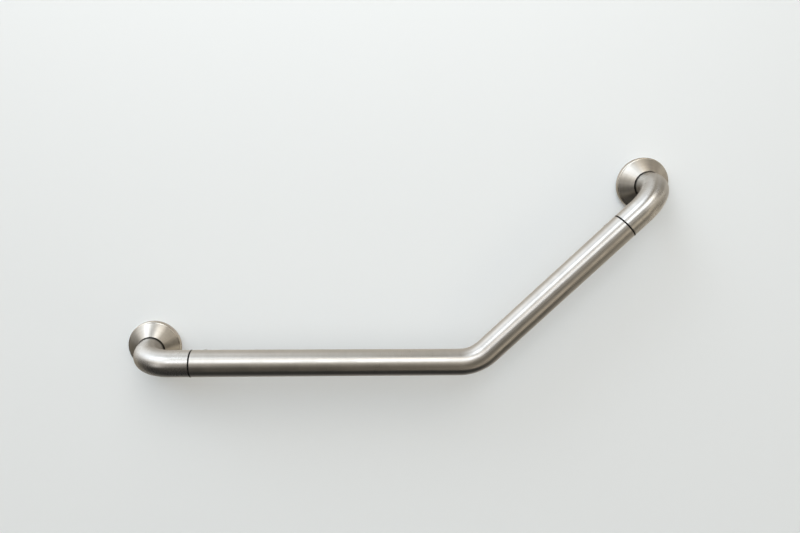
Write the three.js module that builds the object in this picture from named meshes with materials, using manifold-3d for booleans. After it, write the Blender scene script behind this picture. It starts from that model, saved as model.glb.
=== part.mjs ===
// Angled wall grab bar: a bent tube on two elbows, each welded to a covered wall plate.
// Millimetres. The origin is the centre of the lower plate's back, on the wall.
// +X runs along the level arm, +Y goes into the wall and +Z is up.
import * as THREE from 'three';
import { mergeVertices } from 'three/addons/utils/BufferGeometryUtils.js';
import Module from 'manifold-3d';

const wasm = await Module();
wasm.setup();

// The bar
const TUBE_RADIUS = 15.9;
const TUBE_WALL = 1.5;
const LEVEL_ARM = 400;
const RISING_ARM = 300;
const BEND_ANGLE = Math.PI / 4;
const BAR_BEND_RADIUS = 48;
const WALL_TO_AXIS = 63.5;
const ELBOW_BEND_RADIUS = 38;

// The joint between an elbow and the bar
const JOINT_DISTANCE = 61.5;
const GASKET_THICKNESS = 1.1;
const GASKET_PROUD = 0.25;
const JOINT_GAP = 0.2;
const SPIGOT_WALL = 3;
const SPIGOT_IN_ELBOW = 18;
const SPIGOT_IN_BAR = 30;
const GRUB_DISTANCE = 15;
const GRUB_RADIUS = 2.5;
const GRUB_PROUD = 0.5;
const GRUB_LENGTH = 4.5;
const GRUB_SOCKET_RADIUS = 1.4;
const GRUB_SOCKET_DEPTH = 2.2;
const GRUB_LEAN = Math.PI / 6;

// The fixing on the wall
const PLATE_RADIUS = 30.4;
const PLATE_THICKNESS = 5;
const BOSS_HEIGHT = 3;
const RING_SECTION = 0.9;
const RING_CENTRE_RADIUS = 30;
const GROOVE_RADIUS = 28.8;
const GROOVE_HALF_WIDTH = 1.2;
const HOLE_CIRCLE_RADIUS = 23.5;
const HOLE_COUNT = 3;
const SCREW_HEAD_RADIUS = 4.7;
const SCREW_RADIUS = 2.4;
const SCREW_LENGTH = 38;
const SCREW_TIP = 5;
const RECESS_HALF_LENGTH = 2.2;
const RECESS_HALF_WIDTH = 0.45;
const RECESS_DEPTH = 2;

// The cover
const COVER_RADIUS = 32.4;
const COVER_SKIRT = 5.2;
const COVER_CREASE_RADIUS = 30.9;
const COVER_CREASE_HEIGHT = 6.6;
const COVER_HEIGHT = 18.5;
const COVER_OPENING_RADIUS = 17;
const COVER_BULGE = 0.4;
const COVER_SHEET = 1.2;

// Clearance between pieces that touch on the real bar
const GAP = 0.3;

// Fineness
const TUBE_SIDES = 28;
const ROUND_SIDES = 40;
const SCREW_SIDES = 16;
const ELBOW_STEPS = 10;
const BAR_BEND_STEPS = 8;
const COVER_STEPS = 5;
const RING_SIDES = 8;

const BORE_RADIUS = TUBE_RADIUS - TUBE_WALL;
const SPIGOT_RADIUS = BORE_RADIUS - GAP;
const JOINT_HALF = GASKET_THICKNESS / 2 + JOINT_GAP;
const X_AXIS = new THREE.Vector3(1, 0, 0);
const Y_AXIS = new THREE.Vector3(0, 1, 0);

const brushedSteel = new THREE.MeshStandardMaterial({ color: 0xb4afa8, roughness: 0.32, metalness: 1 });
const plateSteel = new THREE.MeshStandardMaterial({ color: 0x9d9c9a, roughness: 0.5, metalness: 1 });
const screwSteel = new THREE.MeshStandardMaterial({ color: 0xbfbfc0, roughness: 0.28, metalness: 1 });
const blackRubber = new THREE.MeshStandardMaterial({ color: 0x1c1b1a, roughness: 0.75, metalness: 0 });
const castAlloy = new THREE.MeshStandardMaterial({ color: 0x8b8d90, roughness: 0.55, metalness: 1 });

// Closed solids and their cuts

function closed(geometry) {
  const bare = geometry.index ? geometry.toNonIndexed() : geometry.clone();
  bare.deleteAttribute('normal');
  bare.deleteAttribute('uv');
  return mergeVertices(bare, 1e-4);
}

function solidOf(geometry) {
  const mesh = closed(geometry);
  const vertProperties = new Float32Array(mesh.attributes.position.array);
  const corners = mesh.index.array;
  const kept = [];
  for (let i = 0; i < corners.length; i += 3) {
    const [a, b, c] = [corners[i], corners[i + 1], corners[i + 2]];
    if (a !== b && b !== c && c !== a) {
      kept.push(a, b, c);
    }
  }
  return new wasm.Manifold(new wasm.Mesh({
    numProp: 3,
    vertProperties,
    triVerts: new Uint32Array(kept),
  }));
}

function geometryOf(solid) {
  const mesh = solid.getMesh();
  const geometry = new THREE.BufferGeometry();
  geometry.setAttribute('position', new THREE.BufferAttribute(mesh.vertProperties, 3));
  geometry.setIndex(new THREE.BufferAttribute(mesh.triVerts, 1));
  const flat = geometry.toNonIndexed();
  flat.computeVertexNormals();
  return flat;
}

function cut(geometry, ...tools) {
  let solid = solidOf(geometry);
  for (const tool of tools) {
    solid = solid.subtract(solidOf(tool));
  }
  return geometryOf(solid);
}

function piece(name, geometry, material) {
  const mesh = new THREE.Mesh(geometry, material);
  mesh.name = name;
  return mesh;
}

// A solid turned about the line that leaves the wall: points are [radius, distance from the wall],
// listed outwards along the wall and back along the front.
function turned(profile, sides) {
  const points = profile.map(([radius, distance]) => new THREE.Vector2(radius, -distance));
  return new THREE.LatheGeometry(points.reverse(), sides);
}

// Tubes: a path of straight runs and arcs, sampled only where it turns

class StationPath extends THREE.Curve {
  constructor(stations) {
    super();
    this.stations = stations;
  }

  getUtoTmapping(u) {
    return u;
  }

  getPoint(t) {
    const last = this.stations.length - 1;
    const before = Math.min(Math.floor(t * last + 1e-9), last - 1);
    const part = t * last - before;
    return this.stations[before].point.clone().lerp(this.stations[before + 1].point, part);
  }

  getTangent(t) {
    return this.stations[Math.round(t * (this.stations.length - 1))].tangent.clone();
  }
}

// The stations of an arc that turns from one direction to another, from a given start.
function arcStations(start, from, to, radius, steps) {
  const angle = from.angleTo(to);
  const inward = to.clone().addScaledVector(from, -Math.cos(angle)).normalize();
  const stations = [];
  for (let i = 0; i <= steps; i += 1) {
    const turn = (angle * i) / steps;
    const point = start.clone()
      .addScaledVector(from, radius * Math.sin(turn))
      .addScaledVector(inward, radius * (1 - Math.cos(turn)));
    const tangent = from.clone().multiplyScalar(Math.cos(turn)).addScaledVector(inward, Math.sin(turn));
    stations.push({ point, tangent });
  }
  return stations;
}

function hollowTube(stations) {
  const ring = new THREE.Shape();
  ring.absarc(0, 0, TUBE_RADIUS, 0, 2 * Math.PI, false);
  const bore = new THREE.Path();
  bore.absarc(0, 0, BORE_RADIUS, 0, 2 * Math.PI, true);
  ring.holes.push(bore);
  return new THREE.ExtrudeGeometry(ring, {
    extrudePath: new StationPath(stations),
    steps: stations.length - 1,
    curveSegments: TUBE_SIDES / 2,
  });
}

// A round bar along X, for turned pieces of the joint: points are [radius, distance along X].
function turnedAlongX(profile, sides) {
  const points = profile.map(([radius, distance]) => new THREE.Vector2(radius, distance));
  const geometry = new THREE.LatheGeometry(points, sides);
  return geometry.rotateZ(-Math.PI / 2);
}

// The bar itself

const risingDirection = new THREE.Vector3(Math.cos(BEND_ANGLE), 0, Math.sin(BEND_ANGLE));
const barCorner = new THREE.Vector3(LEVEL_ARM, -WALL_TO_AXIS, 0);
const upperFlange = new THREE.Vector3(LEVEL_ARM, 0, 0).addScaledVector(risingDirection, RISING_ARM);

function barStations() {
  const tangentLength = BAR_BEND_RADIUS * Math.tan(BEND_ANGLE / 2);
  const start = new THREE.Vector3(JOINT_DISTANCE + JOINT_HALF, -WALL_TO_AXIS, 0);
  const end = barCorner.clone().addScaledVector(risingDirection, RISING_ARM - JOINT_DISTANCE - JOINT_HALF);
  const bendStart = barCorner.clone().addScaledVector(X_AXIS, -tangentLength);
  const bend = arcStations(bendStart, X_AXIS, risingDirection, BAR_BEND_RADIUS, BAR_BEND_STEPS);
  return [
    { point: start, tangent: X_AXIS },
    ...bend,
    { point: end, tangent: risingDirection },
  ];
}

// The grub screw's own axis: inSide is +1 or -1 for the side of the arm that faces into the bend.
function grubDirection(inSide) {
  return new THREE.Vector3(0, Math.sin(GRUB_LEAN), inSide * Math.cos(GRUB_LEAN));
}

// A cylinder or lathe along +Y, moved to stand on the joint's axis at the grub screw.
function atGrub(geometry, inSide) {
  const turn = new THREE.Quaternion().setFromUnitVectors(Y_AXIS, grubDirection(inSide));
  const place = new THREE.Vector3(JOINT_DISTANCE + GRUB_DISTANCE, -WALL_TO_AXIS, 0);
  return geometry.applyQuaternion(turn).translate(place.x, place.y, place.z);
}

function grubHole(inSide) {
  const depth = TUBE_RADIUS + 2;
  const drill = new THREE.CylinderGeometry(GRUB_RADIUS + GAP, GRUB_RADIUS + GAP, depth, SCREW_SIDES);
  return atGrub(drill.translate(0, depth / 2, 0), inSide);
}

function grubScrew(inSide) {
  const top = TUBE_RADIUS + GRUB_PROUD;
  const bottom = top - GRUB_LENGTH;
  const chamfer = 0.4;
  const body = new THREE.LatheGeometry([
    new THREE.Vector2(0, bottom),
    new THREE.Vector2(GRUB_RADIUS - 2 * chamfer, bottom),
    new THREE.Vector2(GRUB_RADIUS, bottom + 2 * chamfer),
    new THREE.Vector2(GRUB_RADIUS, top - chamfer),
    new THREE.Vector2(GRUB_RADIUS - chamfer, top),
    new THREE.Vector2(0, top),
  ], SCREW_SIDES);
  const socket = new THREE.CylinderGeometry(GRUB_SOCKET_RADIUS, GRUB_SOCKET_RADIUS, 2 * GRUB_SOCKET_DEPTH, 6);
  return atGrub(cut(body, socket.translate(0, top, 0)), inSide);
}

// The pieces of one end, in the end's own frame: on the wall at its origin, its arm along +X

function endFrame(name) {
  const group = new THREE.Group();
  if (name === 'upper') {
    group.position.copy(upperFlange);
    group.rotation.y = Math.PI - BEND_ANGLE;
  }
  return group;
}

function elbow() {
  const away = new THREE.Vector3(0, -1, 0);
  const bendStart = new THREE.Vector3(0, -(WALL_TO_AXIS - ELBOW_BEND_RADIUS), 0);
  const foot = new THREE.Vector3(0, -(PLATE_THICKNESS + GAP), 0);
  const mouth = new THREE.Vector3(JOINT_DISTANCE - JOINT_HALF, -WALL_TO_AXIS, 0);
  return hollowTube([
    { point: foot, tangent: away },
    ...arcStations(bendStart, away, X_AXIS, ELBOW_BEND_RADIUS, ELBOW_STEPS),
    { point: mouth, tangent: X_AXIS },
  ]);
}

function jointSpigot(inSide) {
  const inner = SPIGOT_RADIUS - SPIGOT_WALL;
  const start = JOINT_DISTANCE - SPIGOT_IN_ELBOW;
  const end = JOINT_DISTANCE + SPIGOT_IN_BAR;
  const lead = 1;
  const sleeve = turnedAlongX([
    [inner, start],
    [SPIGOT_RADIUS - lead, start],
    [SPIGOT_RADIUS, start + lead],
    [SPIGOT_RADIUS, end - lead],
    [SPIGOT_RADIUS - lead, end],
    [inner, end],
    [inner, start],
  ], TUBE_SIDES).translate(0, -WALL_TO_AXIS, 0);
  return cut(sleeve, grubHole(inSide));
}

function jointGasket() {
  const half = GASKET_THICKNESS / 2;
  const inner = SPIGOT_RADIUS + GAP;
  const outer = TUBE_RADIUS + GASKET_PROUD;
  return turnedAlongX([
    [inner, JOINT_DISTANCE - half],
    [outer - half / 2, JOINT_DISTANCE - half],
    [outer, JOINT_DISTANCE - half / 2],
    [outer, JOINT_DISTANCE + half / 2],
    [outer - half / 2, JOINT_DISTANCE + half],
    [inner, JOINT_DISTANCE + half],
    [inner, JOINT_DISTANCE - half],
  ], TUBE_SIDES).translate(0, -WALL_TO_AXIS, 0);
}

// The centre of a fixing hole, as an offset in the wall's plane: one opposite the arm, two beside it.
function holeOffset(index) {
  const angle = Math.PI + (2 * Math.PI * index) / HOLE_COUNT;
  return [HOLE_CIRCLE_RADIUS * Math.cos(angle), HOLE_CIRCLE_RADIUS * Math.sin(angle)];
}

function countersink(index) {
  const [x, z] = holeOffset(index);
  const mouth = SCREW_HEAD_RADIUS + GAP;
  const throat = SCREW_RADIUS + GAP;
  const drill = turned([
    [0, -1],
    [throat, -1],
    [throat, PLATE_THICKNESS - (mouth - throat)],
    [mouth, PLATE_THICKNESS],
    [mouth, PLATE_THICKNESS + 1],
    [0, PLATE_THICKNESS + 1],
  ], SCREW_SIDES);
  return drill.translate(x, 0, z);
}

function wallPlate() {
  const edge = 0.5;
  const middle = PLATE_THICKNESS / 2;
  const bossRadius = BORE_RADIUS - GAP;
  const disc = turned([
    [0, 0],
    [PLATE_RADIUS - edge, 0],
    [PLATE_RADIUS, edge],
    [PLATE_RADIUS, middle - GROOVE_HALF_WIDTH],
    [GROOVE_RADIUS, middle - GROOVE_HALF_WIDTH],
    [GROOVE_RADIUS, middle + GROOVE_HALF_WIDTH],
    [PLATE_RADIUS, middle + GROOVE_HALF_WIDTH],
    [PLATE_RADIUS, PLATE_THICKNESS - edge],
    [PLATE_RADIUS - edge, PLATE_THICKNESS],
    [bossRadius, PLATE_THICKNESS],
    [bossRadius, PLATE_THICKNESS + BOSS_HEIGHT],
    [0, PLATE_THICKNESS + BOSS_HEIGHT],
  ], ROUND_SIDES);
  const drills = [];
  for (let index = 0; index < HOLE_COUNT; index += 1) {
    drills.push(countersink(index));
  }
  return cut(disc, ...drills);
}

function coverGripRing() {
  const profile = [];
  for (let side = 0; side <= RING_SIDES; side += 1) {
    const angle = (2 * Math.PI * side) / RING_SIDES;
    profile.push([
      RING_CENTRE_RADIUS + RING_SECTION * Math.cos(angle),
      PLATE_THICKNESS / 2 + RING_SECTION * Math.sin(angle),
    ]);
  }
  return turned(profile, ROUND_SIDES);
}

// The dome of the cover, from its crease at 0 to its opening at 1.
function domePoint(part, inset) {
  const run = COVER_CREASE_RADIUS - COVER_OPENING_RADIUS;
  const rise = COVER_HEIGHT - COVER_CREASE_HEIGHT;
  const length = Math.hypot(run, rise);
  const swell = COVER_BULGE * 4 * part * (1 - part) - inset;
  return [
    COVER_CREASE_RADIUS - run * part + (rise / length) * swell,
    COVER_CREASE_HEIGHT + rise * part + (run / length) * swell,
  ];
}

function cover() {
  const outer = [];
  const inner = [];
  for (let step = 0; step <= COVER_STEPS; step += 1) {
    outer.push(domePoint(step / COVER_STEPS, 0));
    inner.unshift(domePoint(step / COVER_STEPS, COVER_SHEET));
  }
  inner[0][0] = COVER_OPENING_RADIUS;
  const skirtInside = COVER_RADIUS - COVER_SHEET;
  const rim = GAP / 2;
  return turned([
    [COVER_RADIUS, rim],
    [COVER_RADIUS, COVER_SKIRT],
    ...outer,
    ...inner,
    [skirtInside, COVER_SKIRT - COVER_SHEET / 2],
    [skirtInside, rim],
    [COVER_RADIUS, rim],
  ], ROUND_SIDES);
}

function crossRecess() {
  const long = RECESS_HALF_LENGTH;
  const thin = RECESS_HALF_WIDTH;
  const corners = [
    [long, thin], [thin, thin], [thin, long], [-thin, long], [-thin, thin], [-long, thin],
    [-long, -thin], [-thin, -thin], [-thin, -long], [thin, -long], [thin, -thin], [long, -thin],
  ];
  const cross = new THREE.Shape(corners.map(([x, y]) => new THREE.Vector2(x, y)));
  const bit = new THREE.ExtrudeGeometry(cross, { depth: 2 * RECESS_DEPTH, bevelEnabled: false });
  return bit.rotateX(Math.PI / 2).translate(0, -PLATE_THICKNESS + RECESS_DEPTH, 0);
}

function plateScrew(index) {
  const [x, z] = holeOffset(index);
  const top = PLATE_THICKNESS;
  const neck = top - (SCREW_HEAD_RADIUS - SCREW_RADIUS);
  const end = top - SCREW_LENGTH;
  const body = turned([
    [0, end],
    [SCREW_RADIUS, end + SCREW_TIP],
    [SCREW_RADIUS, neck],
    [SCREW_HEAD_RADIUS, top],
    [0, top],
  ], SCREW_SIDES);
  return cut(body, crossRecess()).translate(x, 0, z);
}

// One end's pieces, placed

function endPieces(name, inSide) {
  const group = endFrame(name);
  group.add(piece(`${name}_wall_plate`, wallPlate(), plateSteel));
  group.add(piece(`${name}_elbow`, elbow(), brushedSteel));
  group.add(piece(`${name}_cover`, cover(), brushedSteel));
  group.add(piece(`${name}_cover_grip_ring`, coverGripRing(), blackRubber));
  group.add(piece(`${name}_joint_gasket`, jointGasket(), blackRubber));
  group.add(piece(`${name}_joint_spigot`, jointSpigot(inSide), castAlloy));
  group.add(piece(`${name}_grub_screw`, grubScrew(inSide), screwSteel));
  ['a', 'b', 'c'].forEach((letter, index) => {
    group.add(piece(`${name}_plate_screw_${letter}`, plateScrew(index), screwSteel));
  });
  return group;
}

// The grub holes in the bar: each is drilled in its end's frame and carried to the bar's.
function barTube(lowerEnd, upperEnd) {
  lowerEnd.updateMatrixWorld(true);
  upperEnd.updateMatrixWorld(true);
  const lowerHole = grubHole(1).applyMatrix4(lowerEnd.matrixWorld);
  const upperHole = grubHole(-1).applyMatrix4(upperEnd.matrixWorld);
  return cut(hollowTube(barStations()), lowerHole, upperHole);
}

const lowerEnd = endPieces('lower', 1);
const upperEnd = endPieces('upper', -1);
const grabBar = new THREE.Group();
grabBar.add(lowerEnd);
grabBar.add(upperEnd);
grabBar.add(piece('bar_tube', barTube(lowerEnd, upperEnd), brushedSteel));

export default grabBar;
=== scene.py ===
"""Angled wall grab bar in satin stainless steel: fine meshes, materials and a studio."""
import math

import bmesh
import bpy
from mathutils import Euler, Matrix, Vector


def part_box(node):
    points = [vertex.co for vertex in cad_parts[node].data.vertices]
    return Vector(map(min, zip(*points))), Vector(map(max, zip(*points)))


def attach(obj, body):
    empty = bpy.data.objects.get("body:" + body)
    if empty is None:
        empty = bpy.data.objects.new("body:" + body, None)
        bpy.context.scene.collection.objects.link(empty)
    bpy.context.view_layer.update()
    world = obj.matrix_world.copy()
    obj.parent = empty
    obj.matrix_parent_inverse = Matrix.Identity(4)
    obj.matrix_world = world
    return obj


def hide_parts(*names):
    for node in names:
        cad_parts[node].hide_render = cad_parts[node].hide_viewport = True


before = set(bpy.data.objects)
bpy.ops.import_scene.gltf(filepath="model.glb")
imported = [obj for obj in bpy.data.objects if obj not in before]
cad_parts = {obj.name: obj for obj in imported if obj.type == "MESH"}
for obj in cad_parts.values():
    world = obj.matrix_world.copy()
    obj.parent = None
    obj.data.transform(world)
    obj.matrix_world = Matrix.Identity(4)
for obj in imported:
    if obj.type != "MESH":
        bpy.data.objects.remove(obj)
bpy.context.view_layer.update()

# ---------------------------------------------------------------- sizes, in metres

MM = 0.001
TUBE_WALL = 1.5 * MM
EDGE_BREAK = 0.25 * MM
END_RING = 1.2 * MM
ELBOW_BEND_RADIUS = 38 * MM
BAR_BEND_RADIUS = 48 * MM
BEND_ANGLE = math.radians(45)
COVER_SHEET = 1.2 * MM
COVER_CREASE_RADIUS = 30.9 * MM
COVER_CREASE_HEIGHT = 6.6 * MM
COVER_OPENING_RADIUS = 17 * MM
COVER_BULGE = 0.4 * MM
COVER_SKIRT = 5.2 * MM
COVER_SHOULDER = 1.6 * MM
SHOULDER_TURN = math.radians(80)
# how many shoulder radii the shoulder's centre lies below the crease
SHOULDER_CENTRE = 1.05
# the parts of the dome where its outside ends and where its turned-in edge starts
DOME_END, EDGE_START = 0.98, 0.99
COVER_RIM_ROLL = 0.8 * MM
COVER_OPENING_ROUND = 0.3 * MM
PLATE_THICKNESS = 5 * MM
BOSS_HEIGHT = 3 * MM
GROOVE_RADIUS = 28.8 * MM
GROOVE_HALF_WIDTH = 1.2 * MM
PLATE_ROUND = 0.4 * MM
COUNTERSINK_BREAK = 0.2 * MM
SCREW_HEAD_RADIUS = 4.7 * MM
SCREW_RADIUS = 2.4 * MM
SCREW_CORE_RADIUS = 1.65 * MM
SCREW_LENGTH = 38 * MM
SCREW_TIP = 6 * MM
SCREW_PITCH = 2.2 * MM
SCREW_HEAD_BREAK = 0.15 * MM
SCREW_POINT = 0.1
RECESS_HALF_LENGTH = 2.2 * MM
RECESS_HALF_WIDTH = 0.45 * MM
RECESS_DEPTH = 2 * MM
RECESS_ROUND = 0.2 * MM
SPIGOT_WALL = 3 * MM
SPIGOT_IN_ELBOW = 18 * MM
SPIGOT_IN_BAR = 30 * MM
SPIGOT_LEAD = 1 * MM
# the spigot has rings of points this far to each side of the grub screw
SPIGOT_RING = 5 * MM
GASKET_ROUND = 0.3 * MM
GASKET_CLEARANCE = 0.2 * MM
GRUB_DISTANCE = 15 * MM
GRUB_RADIUS = 2.5 * MM
GRUB_CORE_RADIUS = 2.1 * MM
GRUB_PROUD = 0.5 * MM
GRUB_LENGTH = 4.5 * MM
GRUB_PITCH = 0.8 * MM
GRUB_SOCKET_RADIUS = 1.4 * MM
GRUB_SOCKET_DEPTH = 2.2 * MM
GRUB_LEAN = math.radians(30)
GRUB_CHAMFER = 0.4 * MM
SOCKET_BREAK = 0.15 * MM
SOCKET_POINT = 0.5 * MM
SOCKET_POINT_SCALE = 0.3
# where the bar has rings of points beside a grub screw's hole, from the hole's middle
BAR_RINGS = [step * MM for step in (-6, -3.5, 3.5, 6)]
# a thread's ridge as a part of its pitch, to each side, and the rings of points in one pitch
RIDGE_HALF_WIDTH = 0.42
RINGS_IN_PITCH = 10
WELD_SIZE = 1.3 * MM
GAP = 0.3 * MM
# how far a cutting tool reaches past the surface that it cuts
OVERCUT = 1 * MM
# a corner is rounded over at most this part of each of its sides
ROUND_LIMIT = 0.45
# a circle smaller than this is a point
TINY = 1e-9

TUBE_SIDES = 128
COVER_SIDES = 192
PLATE_SIDES = 144
RING_SIDES = 24
SCREW_SIDES = 40
DOME_STEPS = 28
SHOULDER_STEPS = 8
WELD_STEPS = 8
FINE_ARC = 1.5 * MM

X = Vector((1, 0, 0))
Y = Vector((0, 1, 0))
Z = Vector((0, 0, 1))


def middle(node):
    """The centre of a CAD node's box."""
    low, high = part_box(node)
    return (low + high) / 2


def extent(node):
    """The size of a CAD node's box."""
    low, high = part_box(node)
    return high - low


TUBE_RADIUS = extent("bar_tube").y / 2
AXIS_Y = middle("bar_tube").y
COVER_RADIUS = extent("lower_cover").x / 2
COVER_HEIGHT = -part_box("lower_cover")[0].y
COVER_RIM = -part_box("lower_cover")[1].y
PLATE_RADIUS = extent("lower_wall_plate").x / 2
JOINT_DISTANCE = middle("lower_joint_gasket").x
GASKET_THICKNESS = extent("lower_joint_gasket").x
JOINT_HALF = GASKET_THICKNESS / 2 + GASKET_CLEARANCE
LOWER_CENTRE = Vector((middle("lower_wall_plate").x, 0, middle("lower_wall_plate").z))
UPPER_CENTRE = Vector((middle("upper_wall_plate").x, 0, middle("upper_wall_plate").z))
RISING = Vector((math.cos(BEND_ANGLE), 0, math.sin(BEND_ANGLE)))
RISING_ARM = UPPER_CENTRE.z / RISING.z
LEVEL_ARM = UPPER_CENTRE.x - RISING_ARM * RISING.x

# ---------------------------------------------------------------- camera

# the camera was solved by another program from lines measured in the photograph
SENSOR_WIDTH = 36
FOCAL_LENGTH = 27.12
CAMERA_PLACE = (0.26416, -0.74377, 0.27671)
CAMERA_TURN = (76.936, -0.997, -3.307)

camera_data = bpy.data.cameras.new("camera")
camera_data.sensor_width = SENSOR_WIDTH
camera_data.lens = FOCAL_LENGTH
camera_data.clip_start = 0.01
camera = bpy.data.objects.new("camera", camera_data)
camera.location = CAMERA_PLACE
camera.rotation_euler = Euler([math.radians(angle) for angle in CAMERA_TURN])
bpy.context.scene.collection.objects.link(camera)
bpy.context.scene.camera = camera

# ---------------------------------------------------------------- mesh building


class Path:
    """Straight runs and arcs in one plane. runs are (length, radius), and radius None is straight."""

    def __init__(self, start, tangent, normal, runs):
        self.start = start
        self.tangent = tangent
        self.normal = normal
        self.runs = runs

    def where(self, s):
        """The point and the tangent at s along the path."""
        point = self.start.copy()
        tangent = self.tangent.copy()
        for index, (length, radius) in enumerate(self.runs):
            last = index == len(self.runs) - 1
            step = s if last or s < length else length
            if radius is None:
                point += tangent * step
            else:
                turn = step / radius
                toward = self.normal.cross(tangent)
                point += radius * (math.sin(turn) * tangent + (1 - math.cos(turn)) * toward)
                tangent = math.cos(turn) * tangent + math.sin(turn) * toward
            s -= step
            if s <= 0:
                break
        return point, tangent

    def length(self):
        return sum(length for length, _ in self.runs)

    def stops(self, fine):
        """Distances that need a ring: the ends of each run, and every fine metres within an arc."""
        found = [0.0]
        for length, radius in self.runs:
            parts = 1 if radius is None else max(1, round(length / fine))
            base = found[-1]
            found += [base + length * (i + 1) / parts for i in range(parts)]
        return found


def straight(start, tangent, normal):
    return Path(start, tangent, normal, [(1, None)])


OFF_WALL = straight(Vector((0, 0, 0)), -Y, Z)


def shell(name, path, profile, sides, closed=True, swell=None):
    """A skin of circles round a path: each profile point (s, r) is a circle of radius r at s.
    swell(s, r, angle) may change the radius round a circle, for a thread. The face corners carry a
    UV map, brush, with U along the profile, and the attribute lay, which is the distance along the
    profile and the cosine and sine of the angle round it."""
    bm = bmesh.new()
    uv_layer = bm.loops.layers.uv.new("brush")
    lay_layer = bm.loops.layers.float_vector.new("lay")
    rings = []
    runs = []
    run = 0.0
    for index, (s, r) in enumerate(profile):
        if index:
            run += math.dist(profile[index - 1], (s, r))
        runs.append(run)
        point, tangent = path.where(s)
        side = path.normal.cross(tangent)
        if r < TINY:
            rings.append([bm.verts.new(point)])
            continue
        ring = []
        for k in range(sides):
            angle = 2 * math.pi * k / sides
            radius = swell(s, r, angle) if swell else r
            outward = math.cos(angle) * side + math.sin(angle) * path.normal
            ring.append(bm.verts.new(point + radius * outward))
        rings.append(ring)
    pairs = list(zip(range(len(rings) - 1), range(1, len(rings))))
    if closed:
        pairs.append((len(rings) - 1, 0))
        runs.append(run + math.dist(profile[-1], profile[0]))
    for low, high in pairs:
        run_low = runs[low]
        run_high = runs[high] if high else runs[-1]
        for k in range(sides):
            corners = []
            around = ((low, k, run_low), (low, k + 1, run_low),
                      (high, k + 1, run_high), (high, k, run_high))
            for at, turn, run in around:
                ring = rings[at]
                vert = ring[turn % sides] if len(ring) > 1 else ring[0]
                if all(vert is not corner[0] for corner in corners):
                    corners.append((vert, run, 2 * math.pi * turn / sides))
            if len(corners) < 3:
                continue
            face = bm.faces.new([corner[0] for corner in corners])
            for loop, (_, run, angle) in zip(face.loops, corners):
                loop[uv_layer].uv = (run, TUBE_RADIUS * angle)
                loop[lay_layer] = (run, math.cos(angle), math.sin(angle))
    bmesh.ops.recalc_face_normals(bm, faces=bm.faces)
    return to_object(name, bm)


def prism(name, outlines):
    """A closed solid through outlines of equal length, each a list of points, capped at both ends."""
    bm = bmesh.new()
    rows = [[bm.verts.new(point) for point in outline] for outline in outlines]
    count = len(rows[0])
    for low, high in zip(rows, rows[1:]):
        for k in range(count):
            after = (k + 1) % count
            bm.faces.new((low[k], low[after], high[after], high[k]))
    bm.faces.new(rows[0])
    bm.faces.new(rows[-1])
    bmesh.ops.recalc_face_normals(bm, faces=bm.faces)
    return to_object(name, bm)


def to_object(name, bm):
    mesh = bpy.data.meshes.new(name)
    bm.to_mesh(mesh)
    bm.free()
    obj = bpy.data.objects.new(name, mesh)
    bpy.context.scene.collection.objects.link(obj)
    return obj


def smooth(obj, angle=30):
    """Smooth shading, sharp only past an angle, with large faces keeping their own normals."""
    obj.data.polygons.foreach_set("use_smooth", [True] * len(obj.data.polygons))
    obj.data.set_sharp_from_angle(angle=math.radians(angle))
    weigh = obj.modifiers.new("weighted normals", "WEIGHTED_NORMAL")
    weigh.keep_sharp = True
    return obj


def cut(obj, tools):
    """Cuts closed tools out of obj, and removes them."""
    for tool in tools:
        modifier = obj.modifiers.new("cut", "BOOLEAN")
        modifier.operation = "DIFFERENCE"
        modifier.solver = "EXACT"
        modifier.object = tool
        graph = bpy.context.evaluated_depsgraph_get()
        mesh = bpy.data.meshes.new_from_object(obj.evaluated_get(graph))
        obj.modifiers.remove(modifier)
        old = obj.data
        obj.data = mesh
        bpy.data.meshes.remove(old)
        mesh.name = obj.name
        bpy.data.objects.remove(tool)
    return obj


def rounded(profile, radius, steps=4, keep=()):
    """A closed profile with its corners rounded, apart from those whose index is in keep."""
    found = []
    count = len(profile)
    for i, corner in enumerate(profile):
        here = Vector(corner)
        if i in keep:
            found.append(tuple(here))
            continue
        before = Vector(profile[i - 1]) - here
        after = Vector(profile[(i + 1) % count]) - here
        reach = min(radius, before.length * ROUND_LIMIT, after.length * ROUND_LIMIT)
        start = here + before.normalized() * reach
        end = here + after.normalized() * reach
        for k in range(steps + 1):
            t = k / steps
            found.append(tuple(start * (1 - t) ** 2 + here * 2 * t * (1 - t) + end * t ** 2))
    return found


# ---------------------------------------------------------------- tubes

ENDS = {
    "lower": Matrix.Translation(LOWER_CENTRE),
    "upper": Matrix.Translation(UPPER_CENTRE) @ Matrix.Rotation(math.pi - BEND_ANGLE, 4, "Y"),
}
INSIDE_OF_BEND = {"lower": 1, "upper": -1}


def place(obj, end):
    """Moves a mesh from an end's own frame, its arm along +X, to where that end is."""
    obj.data.transform(ENDS[end])
    return obj


def tube_profile(path, extra=()):
    """The closed (s, r) outline of a tube wall along a path, its cut ends lightly broken."""
    length = path.length()
    outer, inner = TUBE_RADIUS, TUBE_RADIUS - TUBE_WALL
    stops = [s for s in path.stops(FINE_ARC) if END_RING < s < length - END_RING]
    inside = sorted(stops + list(extra))
    along = [EDGE_BREAK, END_RING] + inside + [length - END_RING, length - EDGE_BREAK]
    profile = [(0, inner + EDGE_BREAK), (0, outer - EDGE_BREAK)]
    profile += [(s, outer) for s in along]
    profile += [(length, outer - EDGE_BREAK), (length, inner + EDGE_BREAK)]
    profile += [(s, inner) for s in reversed(along)]
    return profile


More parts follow.
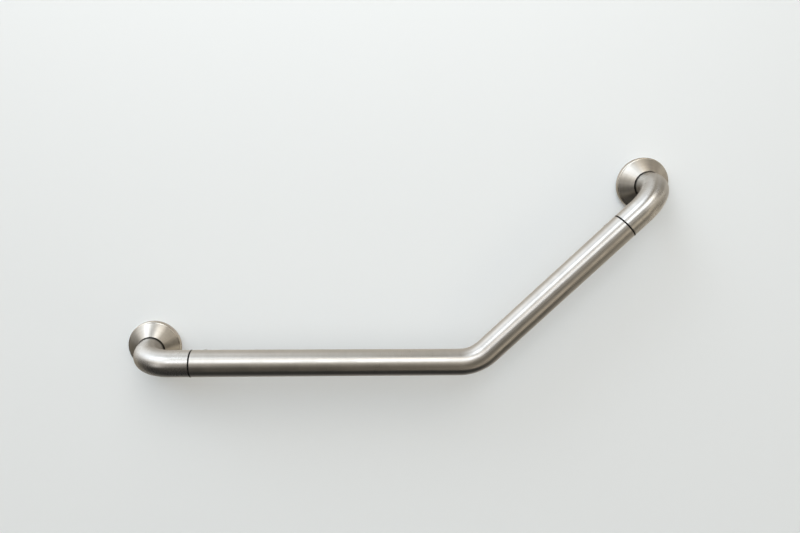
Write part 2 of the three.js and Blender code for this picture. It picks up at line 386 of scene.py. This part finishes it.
def elbow_path():
    """Off the plate, round the elbow's bend and along the arm to the joint."""
    foot = PLATE_THICKNESS
    rise = -AXIS_Y - ELBOW_BEND_RADIUS - foot
    run = JOINT_DISTANCE - JOINT_HALF - ELBOW_BEND_RADIUS
    quarter = math.pi / 2 * ELBOW_BEND_RADIUS
    return Path(-Y * foot, -Y, Z, [(rise, None), (quarter, ELBOW_BEND_RADIUS), (run, None)])


def weld_bead():
    """The (s, r) points of the bead that joins an elbow to its plate."""
    found = []
    for k in range(WELD_STEPS + 1):
        angle = math.pi / 2 * k / WELD_STEPS
        found.append((WELD_SIZE * math.sin(angle), TUBE_RADIUS + WELD_SIZE * math.cos(angle)))
    return found


def elbow(name, end):
    """A tube elbow, with the weld bead at its foot."""
    path = elbow_path()
    profile = tube_profile(path, extra=(WELD_SIZE * 2,))
    above = [p for p in profile[1:] if p[0] > WELD_SIZE or p[1] < TUBE_RADIUS - EDGE_BREAK * 2]
    profile = [profile[0]] + weld_bead() + above
    return place(smooth(shell(name, path, profile, TUBE_SIDES)), end)


def grub_axis(end):
    """The grub screw's own direction, in its end's frame."""
    return Vector((0, math.sin(GRUB_LEAN), INSIDE_OF_BEND[end] * math.cos(GRUB_LEAN)))


def grub_path(end):
    """A straight path out of the joint's axis through the grub screw."""
    return straight(Vector((JOINT_DISTANCE + GRUB_DISTANCE, AXIS_Y, 0)), grub_axis(end), X)


def grub_hole(end):
    """The tool that cuts a grub screw's hole."""
    radius = GRUB_RADIUS + GAP
    reach = TUBE_RADIUS * 1.3
    profile = [(0, 0), (0, radius), (reach, radius), (reach, 0)]
    return place(shell("drill", grub_path(end), profile, SCREW_SIDES, False), end)


def bar_path():
    """Along the level arm, round the bend and up the rising arm, from joint to joint."""
    joint = JOINT_DISTANCE + JOINT_HALF
    reach = BAR_BEND_RADIUS * math.tan(BEND_ANGLE / 2)
    start = Vector((joint, AXIS_Y, 0))
    runs = [(LEVEL_ARM - joint - reach, None), (BAR_BEND_RADIUS * BEND_ANGLE, BAR_BEND_RADIUS),
            (RISING_ARM - joint - reach, None)]
    return Path(start, X, -Y, runs)


def bar(name):
    """The bent tube, with a hole for each grub screw."""
    path = bar_path()
    from_end = GRUB_DISTANCE - JOINT_HALF
    around = [from_end + step for step in BAR_RINGS]
    extra = around + [path.length() - s for s in around]
    obj = shell(name, path, tube_profile(path, extra), TUBE_SIDES)
    return smooth(cut(obj, [grub_hole(end) for end in ENDS]))


# ---------------------------------------------------------------- joint


def gasket(name, end):
    """A rubber ring between the elbow and the bar, with a rolled outer edge."""
    half = GASKET_THICKNESS / 2
    inner = TUBE_RADIUS - TUBE_WALL
    outer = extent("lower_joint_gasket").y / 2
    profile = rounded([(-half, inner), (-half, outer), (half, outer), (half, inner)], GASKET_ROUND)
    path = straight(Vector((JOINT_DISTANCE, AXIS_Y, 0)), X, -Y)
    return place(smooth(shell(name, path, profile, TUBE_SIDES)), end)


def spigot(name, end):
    """The sleeve inside the joint, with a long lead at each end."""
    outer = TUBE_RADIUS - TUBE_WALL - GAP
    inner = outer - SPIGOT_WALL
    start, finish = -SPIGOT_IN_ELBOW, SPIGOT_IN_BAR
    lead = SPIGOT_LEAD
    near, far = GRUB_DISTANCE - SPIGOT_RING, GRUB_DISTANCE + SPIGOT_RING
    profile = [(start, inner), (start, outer - lead), (start + lead, outer), (near, outer),
               (far, outer), (finish - lead, outer), (finish, outer - lead), (finish, inner),
               (far, inner), (near, inner)]
    path = straight(Vector((JOINT_DISTANCE, AXIS_Y, 0)), X, -Y)
    obj = place(shell(name, path, profile, TUBE_SIDES // 2), end)
    return smooth(cut(obj, [grub_hole(end)]))


def thread(core, crest, pitch, start, finish, fade):
    """A swell for shell: a sharp thread between start and finish that fades in and out over fade."""
    def radius(s, r, angle):
        if r < core:
            return r
        phase = (s / pitch - angle / (2 * math.pi)) % 1
        ridge = max(0, 1 - abs(phase - 0.5) / RIDGE_HALF_WIDTH)
        inside = min(1, (s - start) / fade, (finish - s) / fade)
        return core + (crest - core) * ridge * max(0, inside) if start <= s <= finish else r
    return radius


def hexagon(centre, axis, across, radius):
    """The corners of a hexagon square to axis."""
    other = axis.cross(across)
    found = []
    for k in range(6):
        angle = math.pi / 3 * k
        found.append(centre + radius * (math.cos(angle) * across + math.sin(angle) * other))
    return found


def grub_screw(name, end):
    """A threaded set screw with a hexagon socket, its edge just proud of the tube."""
    top = TUBE_RADIUS + GRUB_PROUD
    bottom = top - GRUB_LENGTH
    first, last = bottom + 2 * GRUB_CHAMFER, top - GRUB_CHAMFER
    count = round((last - first) / GRUB_PITCH * RINGS_IN_PITCH)
    barrel = [(first + (last - first) * k / count, GRUB_RADIUS) for k in range(count + 1)]
    profile = [(bottom, 0), (bottom, GRUB_RADIUS - 2 * GRUB_CHAMFER)] + barrel
    profile += [(top, GRUB_RADIUS - GRUB_CHAMFER), (top, 0)]
    path = grub_path(end)
    swell = thread(GRUB_CORE_RADIUS, GRUB_RADIUS, GRUB_PITCH, first, last, GRUB_PITCH / 3)
    obj = shell(name, path, profile, SCREW_SIDES, False, swell)
    axis = grub_axis(end)
    sections = (
        (top - GRUB_SOCKET_DEPTH - SOCKET_POINT, GRUB_SOCKET_RADIUS * SOCKET_POINT_SCALE),
        (top - GRUB_SOCKET_DEPTH, GRUB_SOCKET_RADIUS),
        (top - SOCKET_BREAK, GRUB_SOCKET_RADIUS),
        (top + SOCKET_BREAK, GRUB_SOCKET_RADIUS + 2 * SOCKET_BREAK))
    cut(obj, [prism("key", [hexagon(path.start + axis * s, axis, X, r) for s, r in sections])])
    return place(smooth(obj), end)


# ---------------------------------------------------------------- cover and fixing


def dome_point(part, inset):
    """A point (distance from the wall, radius) of the dome, from its crease at 0 to its opening at 1."""
    run = COVER_CREASE_RADIUS - COVER_OPENING_RADIUS
    rise = COVER_HEIGHT - COVER_CREASE_HEIGHT
    length = math.hypot(run, rise)
    swell = COVER_BULGE * 4 * part * (1 - part) - inset
    return (COVER_CREASE_HEIGHT + rise * part + run / length * swell,
            COVER_CREASE_RADIUS - run * part + rise / length * swell)


def cover(name, end):
    """A spun dome: its rim rolled at the wall, a plain skirt with a round shoulder, a crisp crease
    where the dome starts and an edge turned in at the opening."""
    steps = DOME_STEPS
    inside = COVER_RADIUS - COVER_SHEET
    skirt = COVER_RIM + 3 * COVER_RIM_ROLL
    rim = rounded([(COVER_RIM, inside), (COVER_RIM, COVER_RADIUS), (skirt, COVER_RADIUS)],
                  COVER_RIM_ROLL, steps=6, keep=(0, 2))
    shoulder = []
    for k in range(SHOULDER_STEPS + 1):
        angle = SHOULDER_TURN * k / SHOULDER_STEPS
        shoulder.append((COVER_CREASE_HEIGHT - COVER_SHOULDER * (SHOULDER_CENTRE - math.sin(angle)),
                         COVER_RADIUS - COVER_SHOULDER * (1 - math.cos(angle))))
    dome = [dome_point(DOME_END * i / steps, 0) for i in range(steps + 1)]
    inner = [dome_point(i / steps, COVER_SHEET) for i in range(steps + 1)][::-1]
    edge = rounded([dome_point(EDGE_START, 0), (COVER_HEIGHT, COVER_OPENING_RADIUS),
                    (inner[0][0], COVER_OPENING_RADIUS), inner[1]],
                   COVER_OPENING_ROUND, steps=3, keep=(0, 3))
    profile = rim + shoulder + dome + edge + inner[2:] + [(COVER_SKIRT - COVER_SHEET / 2, inside)]
    return place(smooth(shell(name, OFF_WALL, profile, COVER_SIDES), 20), end)


def screw_place(end, letter):
    """The centre of a plate screw on the wall, in its end's own frame."""
    at = middle(f"{end}_plate_screw_{letter}")
    return ENDS[end].inverted() @ Vector((at.x, 0, at.z))


def countersink(end, letter):
    """The tool that cuts a plate screw's hole and countersink."""
    throat = SCREW_RADIUS + GAP
    mouth = SCREW_HEAD_RADIUS + GAP
    edge = COUNTERSINK_BREAK
    top = PLATE_THICKNESS
    profile = [(-OVERCUT, 0), (-OVERCUT, throat), (top - (mouth - throat), throat),
               (top - edge, mouth - edge), (top, mouth + edge),
               (top + OVERCUT, mouth + edge * 2), (top + OVERCUT, 0)]
    path = straight(screw_place(end, letter), -Y, Z)
    return shell("drill", path, profile, SCREW_SIDES, False)


def wall_plate(name, end):
    """A turned disc with a groove for its ring, a boss for the elbow and three countersunk holes."""
    middle_height = PLATE_THICKNESS / 2
    low, high = middle_height - GROOVE_HALF_WIDTH, middle_height + GROOVE_HALF_WIDTH
    boss = TUBE_RADIUS - TUBE_WALL - GAP
    disc = rounded([
        (0, 0), (0, PLATE_RADIUS), (low, PLATE_RADIUS), (low, GROOVE_RADIUS), (high, GROOVE_RADIUS),
        (high, PLATE_RADIUS), (PLATE_THICKNESS, PLATE_RADIUS), (PLATE_THICKNESS, boss),
        (PLATE_THICKNESS + BOSS_HEIGHT, boss), (PLATE_THICKNESS + BOSS_HEIGHT, 0)],
        PLATE_ROUND, keep=(0, 3, 4, 7, 9))
    obj = shell(name, OFF_WALL, disc, PLATE_SIDES, False)
    cut(obj, [countersink(end, letter) for letter in "abc"])
    return place(smooth(obj), end)


def grip_ring(name, end):
    """The rubber ring in the plate's groove that grips the cover."""
    reach = extent("lower_cover_grip_ring")
    section = reach.y / 2
    centre = reach.x / 2 - section
    height = PLATE_THICKNESS / 2
    profile = []
    for k in range(RING_SIDES):
        angle = 2 * math.pi * k / RING_SIDES
        profile.append((height + section * math.sin(angle), centre + section * math.cos(angle)))
    return place(smooth(shell(name, OFF_WALL, profile, PLATE_SIDES)), end)


def cross_outline(height, scale):
    """A cross with rounded ends, square to the wall, at a height off it."""
    long, thin = RECESS_HALF_LENGTH * scale, RECESS_HALF_WIDTH * scale
    quarter = [(long, thin), (thin, thin), (thin, long)]
    corners = []
    for turn in range(4):
        for x, z in quarter:
            for _ in range(turn):
                x, z = -z, x
            corners.append((x, z))
    return [Vector((x, -height, z)) for x, z in rounded(corners, RECESS_ROUND, steps=3)]


def plate_screw(name, end, letter):
    """A countersunk wood screw with a cross recess, its thread running to a point behind the plate."""
    top = PLATE_THICKNESS
    neck = top - (SCREW_HEAD_RADIUS - SCREW_RADIUS)
    tip = top - SCREW_LENGTH
    body = neck - 1 * MM
    cone = tip + SCREW_TIP
    count = round((body - cone) / SCREW_PITCH * RINGS_IN_PITCH)
    cone_count = round(SCREW_TIP / SCREW_PITCH * RINGS_IN_PITCH)
    profile = [(tip, 0)]
    for k in range(1, cone_count):
        profile.append((tip + SCREW_TIP * k / cone_count, SCREW_RADIUS * k / cone_count))
    profile += [(cone + (body - cone) * k / count, SCREW_RADIUS) for k in range(count + 1)]
    edge = SCREW_HEAD_BREAK
    profile += [(neck, SCREW_RADIUS), (top - edge, SCREW_HEAD_RADIUS - edge / 2),
                (top, SCREW_HEAD_RADIUS - edge), (top, 0)]
    tread = thread(SCREW_CORE_RADIUS, SCREW_RADIUS, SCREW_PITCH, tip, body, 1 * MM)

    def swell(s, r, angle):
        if s > body:
            return r
        taper = min(1, (s - tip) / SCREW_TIP)
        return tread(s, SCREW_RADIUS, angle) * (SCREW_POINT + (1 - SCREW_POINT) * taper)

    at = screw_place(end, letter)
    obj = shell(name, straight(at, -Y, Z), profile, SCREW_SIDES, False, swell)
    sections = ((top - RECESS_DEPTH, 0.5), (top, 1), (top + OVERCUT, 1.5))
    bit = prism("bit", [cross_outline(height, scale) for height, scale in sections])
    bit.data.transform(Matrix.Translation(at))
    cut(obj, [bit])
    return place(smooth(obj), end)


# ---------------------------------------------------------------- materials


class Nodes:
    """A node tree, with short ways to add nodes and join them."""

    def __init__(self, owner):
        owner.use_nodes = True
        self.owner = owner
        self.tree = owner.node_tree

    def add(self, kind, **settings):
        node = self.tree.nodes.new(kind)
        for key, value in settings.items():
            setattr(node, key, value)
        return node

    def put(self, value, socket):
        """Joins an output to a socket, or sets the socket to a plain value."""
        if isinstance(value, bpy.types.NodeSocket):
            self.tree.links.new(value, socket)
        else:
            socket.default_value = value

    def math(self, operation, *values):
        node = self.add("ShaderNodeMath", operation=operation)
        for value, socket in zip(values, node.inputs):
            self.put(value, socket)
        return node.outputs[0]

    def vector(self, operation, *values):
        node = self.add("ShaderNodeVectorMath", operation=operation)
        for value, socket in zip(values, node.inputs):
            self.put(value, socket)
        return node.outputs["Value" if operation == "DOT_PRODUCT" else "Vector"]

    def noise(self, where, stretch, detail=2.0):
        """Noise from 0 to 1, finer along each axis by the number in stretch."""
        node = self.add("ShaderNodeTexNoise")
        self.put(self.vector("MULTIPLY", where, stretch), node.inputs["Vector"])
        node.inputs["Scale"].default_value = 1
        node.inputs["Detail"].default_value = detail
        return node.outputs["Fac"]

    def ease(self, value, low, high, to_low=0.0, to_high=1.0, kind="SMOOTHSTEP"):
        """value eased from low..high to to_low..to_high."""
        node = self.add("ShaderNodeMapRange", interpolation_type=kind)
        for item, socket in zip((value, low, high, to_low, to_high), node.inputs):
            self.put(item, socket)
        return node.outputs["Result"]


class Surface(Nodes):
    """A material of one principled shader."""

    def __init__(self, name, metallic):
        super().__init__(bpy.data.materials.new(name))
        self.shader = self.tree.nodes["Principled BSDF"]
        self.shader.inputs["Metallic"].default_value = metallic

    def tint(self, color, *shades):
        """A colour multiplied by each shade, a number that is 1 where the colour stays as it is."""
        value = color
        for shade in shades:
            value = self.vector("MULTIPLY", value, shade)
        self.put(value, self.shader.inputs["Base Color"])

    def bump(self, height, depth):
        node = self.add("ShaderNodeBump")
        node.inputs["Strength"].default_value = 1
        node.inputs["Distance"].default_value = depth
        self.put(height, node.inputs["Height"])
        self.put(node.outputs["Normal"], self.shader.inputs["Normal"])


# most of a noise's values lie between these two
QUIET, LOUD = 0.3, 0.7
# how far the edge of the elbow's painted shade, where it goes into its cover, wanders and fades, and how
# dark it is
PAINTED_SHADE_FADE = 3 * MM
PAINTED_SHADE_FACTOR = 0.3
# how far the smoother steel takes to end, and its roughness as a part of the rest's
SMOOTH_FADE = 0.3 * MM
SMOOTH_PART = 0.6


def brushed_steel(name, color, roughness, anisotropy, line=0.25 * MM, band=5 * MM, streak=0.03,
                  along=14, depth=0.7e-6, bright_edge=None, tint=None):
    """Satin steel: fine lines round the piece, so that highlights stretch along it, with faint bands,
    streaks and smudges in its colour and roughness. along is how many streaks run the long way.
    bright_edge is a distance along the outline below which the steel is left smoother.
    tint is a height off the wall below which the steel is darkened with painted shade, where the elbow
    goes into its cover."""
    surface = Surface(name, 1)
    lay = surface.add("ShaderNodeAttribute", attribute_name="lay").outputs["Vector"]
    place_on_piece = surface.add("ShaderNodeTexCoord").outputs["Object"]
    lines = surface.noise(lay, (1 / line, 2.5, 2.5), 3)
    bands = surface.noise(lay, (1 / band, 1.5, 1.5), 2)
    streaks = surface.noise(lay, (1 / (20 * band), along, along), 3)
    smudges = surface.noise(place_on_piece, (38, 38, 38), 4)
    shades = [surface.ease(lines, QUIET, LOUD, 0.975, 1.025, "LINEAR"),
              surface.ease(bands, QUIET, LOUD, 1 - streak, 1 + streak, "LINEAR"),
              surface.ease(streaks, QUIET, LOUD, 1 - streak, 1 + streak, "LINEAR")]
    # painted shade: the steel is darkened close to the wall, where the elbow goes into its cover
    if tint:
        split = surface.add("ShaderNodeSeparateXYZ")
        surface.put(place_on_piece, split.inputs[0])
        wander = surface.math("MULTIPLY_ADD", smudges, PAINTED_SHADE_FADE, split.outputs["Y"])
        shades.append(surface.ease(wander, -tint, PAINTED_SHADE_FADE - tint, 1.0, PAINTED_SHADE_FACTOR))
    surface.tint(color, *shades)
    rough = surface.ease(smudges, 0.35, 0.7, roughness - 0.02, roughness + 0.05)
    rough = surface.math("ADD", rough, surface.ease(lines, QUIET, LOUD, -0.02, 0.02, "LINEAR"))
    if bright_edge:
        split = surface.add("ShaderNodeSeparateXYZ")
        surface.put(lay, split.inputs[0])
        end = bright_edge + SMOOTH_FADE
        edge = surface.ease(split.outputs["X"], bright_edge, end, SMOOTH_PART, 1.0)
        rough = surface.math("MULTIPLY", rough, edge)
    surface.put(rough, surface.shader.inputs["Roughness"])
    surface.bump(lines, depth)
    tangent = surface.add("ShaderNodeTangent", direction_type="UV_MAP", uv_map="brush")
    surface.put(tangent.outputs["Tangent"], surface.shader.inputs["Tangent"])
    surface.shader.inputs["Anisotropic"].default_value = anisotropy
    return surface.owner


def rubber(name):
    """Black rubber, dull, with a fine moulded grain and a little dust."""
    surface = Surface(name, 0)
    place_on_piece = surface.add("ShaderNodeTexCoord").outputs["Object"]
    grain = surface.noise(place_on_piece, (9000, 9000, 9000), 2)
    dust = surface.noise(place_on_piece, (220, 220, 220), 3)
    surface.tint((0.004, 0.004, 0.004), surface.ease(dust, 0.5, 0.8, 1.0, 1.9))
    surface.put(surface.ease(dust, 0.3, 0.8, 0.6, 0.75), surface.shader.inputs["Roughness"])
    surface.shader.inputs["Specular IOR Level"].default_value = 0.15
    surface.bump(grain, 8e-6)
    return surface.owner


def cast_alloy(name):
    """A dull grey casting with a sandy surface."""
    surface = Surface(name, 1)
    place_on_piece = surface.add("ShaderNodeTexCoord").outputs["Object"]
    sand = surface.noise(place_on_piece, (2500, 2500, 2500), 3)
    patches = surface.noise(place_on_piece, (120, 120, 120), 3)
    surface.tint((0.45, 0.45, 0.46), surface.ease(patches, QUIET, LOUD, 0.85, 1.1))
    surface.put(surface.ease(sand, QUIET, LOUD, 0.45, 0.6), surface.shader.inputs["Roughness"])
    surface.bump(sand, 3e-5)
    return surface.owner


TUBE_STEEL = brushed_steel("tube_steel", (0.48, 0.46, 0.43), 0.31, 0.92)
# the elbow's steel gets painted shade closer to the wall than tint, where it goes into its cover
ELBOW_STEEL = brushed_steel("elbow_steel", (0.48, 0.465, 0.44), 0.27, 0.9, streak=0.05, along=9,
                            depth=0.3e-6, tint=21.5 * MM)
COVER_STEEL = brushed_steel("cover_steel", (0.49, 0.46, 0.415), 0.36, 0.9, line=0.3 * MM, band=3 * MM,
                            streak=0.05, bright_edge=COVER_SHEET + COVER_CREASE_HEIGHT)
PLATE_STEEL = brushed_steel("plate_steel", (0.5, 0.49, 0.47), 0.36, 0.6, line=0.4 * MM, band=3 * MM,
                            streak=0.06, depth=4e-6)
SCREW_STEEL = brushed_steel("screw_steel", (0.58, 0.57, 0.55), 0.26, 0.3, line=0.15 * MM, band=1.5 * MM,
                            streak=0.06, depth=2e-6)
BLACK_RUBBER = rubber("black_rubber")
CAST_ALLOY = cast_alloy("cast_alloy")

# ---------------------------------------------------------------- pieces


def finish_piece(obj, body, node, material):
    """Gives a piece its material and its body, and puts it in the place of its CAD node."""
    obj.data.materials.clear()
    obj.data.materials.append(material)
    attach(obj, body)
    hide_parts(node)


finish_piece(bar("bar_tube_fine"), "grab_bar", "bar_tube", TUBE_STEEL)
FIXED = (
    (elbow, "elbow", "brushed_stainless", ELBOW_STEEL),
    (gasket, "joint_gasket", "black_rubber", BLACK_RUBBER),
    (spigot, "joint_spigot", "cast_alloy", CAST_ALLOY),
    (grub_screw, "grub_screw", "screw_steel", SCREW_STEEL),
    (wall_plate, "wall_plate", "plate_steel", PLATE_STEEL),
    (grip_ring, "cover_grip_ring", "black_rubber", BLACK_RUBBER),
)
for end in ENDS:
    for make, kind, slot, material in FIXED:
        node = f"{end}_{kind}"
        finish_piece(make(f"{node}_fine", end), "grab_bar", node, material)
    for letter in "abc":
        node = f"{end}_plate_screw_{letter}"
        finish_piece(plate_screw(f"{node}_fine", end, letter), "grab_bar", node, SCREW_STEEL)
    node = f"{end}_cover"
    finish_piece(cover(f"{node}_fine", end), node, node, COVER_STEEL)

# ---------------------------------------------------------------- stage and light

WALL_Y = -0.12 * MM
FLOOR_Z = -0.3
ROOM_TOP = 3
ROOM_LEFT, ROOM_RIGHT = -3, 4
ROOM_FRONT, ROOM_BACK = -4, 4
WALL_PAINT = (0.8, 0.83, 0.845, 1)
FLOOR_PAINT = (0.45, 0.455, 0.45, 1)


def plane(name, corners):
    """One flat face that isn't part of the object."""
    mesh = bpy.data.meshes.new(name)
    mesh.from_pydata(corners, [], [(0, 1, 2, 3)])
    obj = bpy.data.objects.new(name, mesh)
    bpy.context.scene.collection.objects.link(obj)
    return obj


def one_sided(paint):
    """Makes a surface clear when it is seen from behind."""
    mix = paint.add("ShaderNodeMixShader")
    paint.put(paint.add("ShaderNodeNewGeometry").outputs["Backfacing"], mix.inputs["Fac"])
    paint.put(paint.shader.outputs["BSDF"], mix.inputs[1])
    paint.put(paint.add("ShaderNodeBsdfTransparent").outputs["BSDF"], mix.inputs[2])
    paint.put(mix.outputs["Shader"], paint.tree.nodes["Material Output"].inputs["Surface"])


def wall():
    """A plain pale wall that the bar stands on, clear when it is seen from behind. The steel doesn't
    reflect it: it reflects the world's own light from that side instead."""
    obj = plane("wall", [(ROOM_LEFT, WALL_Y, FLOOR_Z), (ROOM_RIGHT, WALL_Y, FLOOR_Z),
                         (ROOM_RIGHT, WALL_Y, ROOM_TOP), (ROOM_LEFT, WALL_Y, ROOM_TOP)])
    paint = Surface("wall_paint", 0)
    paint.shader.inputs["Base Color"].default_value = WALL_PAINT
    paint.shader.inputs["Roughness"].default_value = 0.6
    one_sided(paint)
    obj.data.materials.append(paint.owner)
    obj.visible_glossy = False


def floor():
    """A plain pale floor, clear from below, that is seen but changes nothing else."""
    obj = plane("floor", [(ROOM_LEFT, ROOM_FRONT, FLOOR_Z), (ROOM_RIGHT, ROOM_FRONT, FLOOR_Z),
                          (ROOM_RIGHT, ROOM_BACK, FLOOR_Z), (ROOM_LEFT, ROOM_BACK, FLOOR_Z)])
    paint = Surface("floor_paint", 0)
    paint.shader.inputs["Base Color"].default_value = FLOOR_PAINT
    one_sided(paint)
    obj.data.materials.append(paint.owner)
    obj.visible_glossy = False
    obj.visible_diffuse = False
    obj.visible_shadow = False


def toward(azimuth, elevation):
    """A direction: azimuth from straight out of the wall towards +X, elevation up, in degrees."""
    a, e = math.radians(azimuth), math.radians(elevation)
    return Vector((math.cos(e) * math.sin(a), -math.cos(e) * math.cos(a), math.sin(e)))


PLAIN = (1.02, 1.0, 0.98)
COOL = (0.92, 1.0, 1.09)
WARM = (1.07, 1.01, 0.91)
TAN = (1.12, 1.0, 0.8)
# Most numbers in SOFTBOXES, ROOM_SIDE and WALL_SIDE were fitted by another program to the brightness
# of the steel in the photograph, then rounded, and some were changed. They aren't a plain
# studio designed by hand.
# azimuth, elevation and roll in degrees, half width, half height and edge as tangents, light, colour
SOFTBOXES = {
    "left window": (-58, 48, 4, 0.14, 0.26, 0.24, 5.4, COOL),
    "front window": (-3, 37.5, -16, 0.19, 0.18, 0.18, 5.5, COOL),
    "narrow window": (-41, 13.5, 2, 0.1, 0.47, 0.23, 2.6, PLAIN),
    "tan corner": (32, -18, 0, 0.15, 0.61, 0.16, 1.04, TAN),
    "right side": (79, -23, 26, 0.36, 0.1, 0.16, 1.3, TAN),
    "far left": (-95, 51, -30, 0.35, 0.48, 0.6, 2.2, COOL),
    "bright door": (29, 24.5, -30, 0.48, 0.11, 0.16, 0.95, WARM),
    "far right": (122, -17, -29, 0.44, 0.15, 0.16, 0.32, WARM),
    "left glow": (-122, 25, 0, 0.5, 0.5, 0.4, 0.54, COOL),
    "right glow": (70, 8, 0, 0.6, 0.3, 0.3, 0.29, TAN),
    "right high": (79, 44, 20, 0.1, 0.1, 0.16, 1.0, TAN),
    "skylight": (20, 51, 29, 0.27, 0.1, 0.25, 4.8, WARM),
}
# sine of the elevation, light and colour, on the room's side of the wall and on its own side
ROOM_SIDE = (
    (-1, 0.05, PLAIN), (-0.6, 0.05, PLAIN), (-0.35, 0.08, WARM), (-0.15, 0.08, WARM), (0, 0.19, WARM),
    (0.2, 0.26, WARM), (0.4, 0.71, WARM), (0.6, 0.02, WARM), (0.85, 0.07, WARM), (1, 0.5, TAN),
)
WALL_SIDE = (
    (-1, 0.2, PLAIN), (-0.7, 0.37, WARM), (-0.35, 0.46, TAN), (0, 0.72, WARM), (0.35, 0.74, WARM),
    (0.7, 0.71, WARM), (1, 0.55, WARM),
)
# how far a ray points into the wall where the two sides' light starts and finishes changing over
CHANGE_START, CHANGE_END = -0.05, 0.45
PALE = (0.8, 0.81, 0.81, 1)
# a softbox lights only rays that point its way at least this much, as a cosine
LEAST_FACING = 0.05
LAMP_WIDTH, LAMP_HEIGHT = 1.2, 0.8
LAMP_DISTANCE = 1.15
LAMP_ENERGY = 5.4


def softbox(sky, ray, azimuth, elevation, roll, half_width, half_height, edge, light, color):
    """The light of a soft-edged rectangle far off, square to its own direction."""
    axis = toward(azimuth, elevation)
    turn = Matrix.Rotation(math.radians(-roll), 3, axis)
    across = turn @ axis.cross(Z).normalized()
    up = across.cross(axis)
    facing = sky.vector("DOT_PRODUCT", ray, tuple(axis))
    safe = sky.math("MAXIMUM", facing, LEAST_FACING)
    mask = sky.math("GREATER_THAN", facing, LEAST_FACING)
    for side, half in ((across, half_width), (up, half_height)):
        offset = sky.math("DIVIDE", sky.vector("DOT_PRODUCT", ray, tuple(side)), safe)
        inside = sky.ease(sky.math("ABSOLUTE", offset), half - edge, half + edge, 1.0, 0.0)
        mask = sky.math("MULTIPLY", mask, inside)
    return sky.vector("MULTIPLY", [light * c for c in color], mask)


def by_height(sky, height, levels):
    """Light that changes only with the ray's height."""
    ramp = sky.add("ShaderNodeValToRGB")
    sky.put(sky.ease(height, -1, 1, kind="LINEAR"), ramp.inputs["Fac"])
    elements = ramp.color_ramp.elements
    elements.remove(elements[-1])
    for index, (z, light, color) in enumerate(levels):
        element = elements.new((z + 1) / 2) if index else elements[0]
        element.position = (z + 1) / 2
        element.color = (*[light * c for c in color], 1)
    return ramp.outputs["Color"]


def blend(sky, factor, first, second):
    """first where factor is 0, second where it is 1."""
    mix = sky.add("ShaderNodeMixRGB")
    for value, socket in zip((factor, first, second), mix.inputs):
        sky.put(value, socket)
    return mix.outputs["Color"]


def studio():
    """Soft light from far off that changes with height, and the softboxes. The camera sees plain
    pale instead."""
    world = bpy.data.worlds.new("studio")
    bpy.context.scene.world = world
    sky = Nodes(world)
    ray = sky.add("ShaderNodeTexCoord").outputs["Generated"]
    split = sky.add("ShaderNodeSeparateXYZ")
    sky.put(ray, split.inputs[0])
    height = split.outputs["Z"]
    total = blend(sky, sky.ease(split.outputs["Y"], CHANGE_START, CHANGE_END),
                  by_height(sky, height, ROOM_SIDE), by_height(sky, height, WALL_SIDE))
    for box in SOFTBOXES.values():
        total = sky.vector("ADD", total, softbox(sky, ray, *box))
    by_camera = sky.add("ShaderNodeLightPath").outputs["Is Camera Ray"]
    sky.put(blend(sky, by_camera, total, PALE), sky.tree.nodes["Background"].inputs["Color"])


def wall_wash():
    """A large soft lamp that lights the wall and casts the bar's shadow. It isn't reflected in the
    steel."""
    data = bpy.data.lights.new("wall_wash", "AREA")
    data.shape = "RECTANGLE"
    data.size = LAMP_WIDTH
    data.size_y = LAMP_HEIGHT
    data.energy = LAMP_ENERGY
    lamp = bpy.data.objects.new("wall_wash", data)
    aim = toward(-14, 62)
    target = (UPPER_CENTRE + LOWER_CENTRE) / 2
    lamp.location = target + aim * LAMP_DISTANCE
    lamp.rotation_euler = aim.to_track_quat("Z", "Y").to_euler()
    lamp.visible_glossy = False
    lamp.visible_camera = False
    bpy.context.scene.collection.objects.link(lamp)


wall()
floor()
studio()
wall_wash()
bpy.context.scene.view_settings.view_transform = "Standard"
